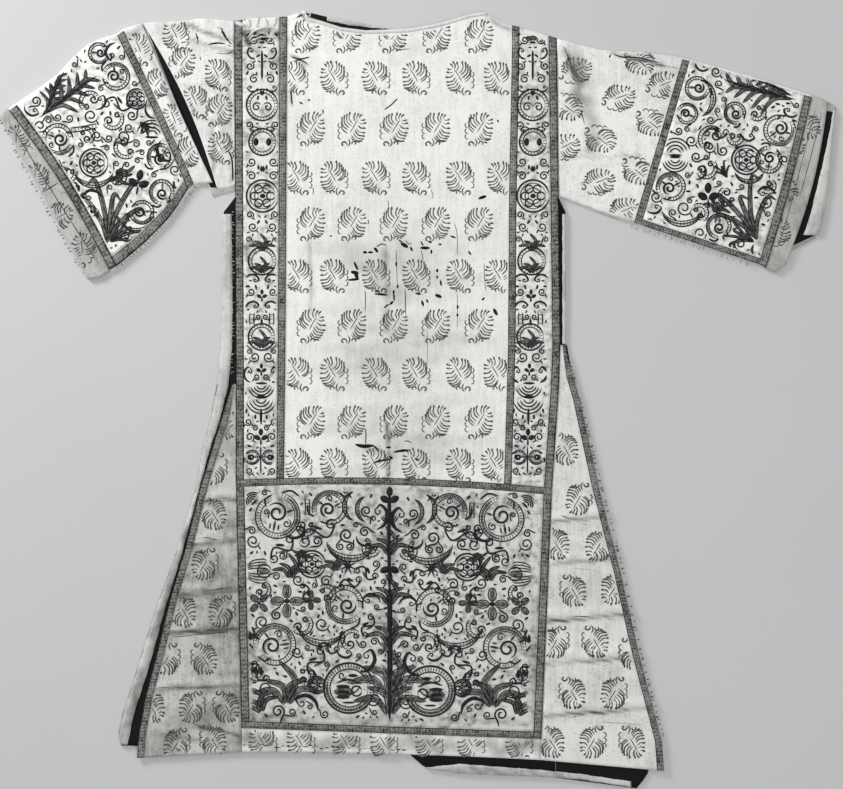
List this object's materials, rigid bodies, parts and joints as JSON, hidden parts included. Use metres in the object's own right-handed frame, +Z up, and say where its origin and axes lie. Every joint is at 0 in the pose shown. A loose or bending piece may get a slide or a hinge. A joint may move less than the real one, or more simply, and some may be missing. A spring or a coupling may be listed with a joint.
{
  "type": "liturgical tunic",
  "caption": "Figured-cloth liturgical tunic with wide sleeves, orphrey bands and framed apparels, laid flat with its front up.",
  "frame": {"origin": "centre of the bounding box on the surface that the tunic lies on", "axes": "+X to the wearer's left, from cuff to cuff; +Y from hem to neck; +Z up, out of the front"},
  "size_m": [1.2538, 1.1684, 0.0096],
  "materials": {
    "damask": "pale figured silk with a soft sheen",
    "gore_damask": "pale figured silk, greyer, creased",
    "cuff_damask": "grey mottled figured silk",
    "lining": "matt black linen",
    "binding": "plain pale silk",
    "apparel_ground": "satin ground under couched cord",
    "galloon": "woven galloon with a ribbed texture"
  },
  "bodies": {
    "root": {"back_body": "damask", "back_gore_left": "gore_damask", "back_gore_right": "gore_damask", "lining_body": "lining", "lining_gore_left": "lining", "lining_gore_right": "lining", "lining_shoulder_left": "lining", "lining_cuff_right": "lining", "facing_side_left": "binding", "facing_side_right": "binding", "facing_hem": "binding", "facing_neck": "binding", "facing_cuff_right": "binding", "front_body": "damask", "front_gore_left": "gore_damask", "front_gore_right": "gore_damask", "neck_binding": "binding", "orphrey_left": "apparel_ground", "orphrey_right": "apparel_ground", "apparel_front": "apparel_ground", "apparel_sleeve_left": "apparel_ground", "apparel_sleeve_right": "apparel_ground", "galloon_left_outer": "galloon", "galloon_left_inner": "galloon", "galloon_right_inner": "galloon", "galloon_right_outer": "galloon", "frame_top": "galloon", "frame_bottom": "galloon", "frame_left": "galloon", "frame_right": "galloon", "galloon_gore_left": "galloon", "galloon_gore_right": "galloon", "galloon_near_left": "galloon", "galloon_far_left": "galloon", "galloon_underarm_left": "galloon", "galloon_near_right": "galloon", "galloon_far_right": "galloon", "galloon_underarm_right": "galloon", "shoulder_left": "damask", "sleeve_left": "damask", "sleeve_right": "damask", "cuff_left": "cuff_damask", "cuff_right": "cuff_damask"}
  },
  "joints": []
}
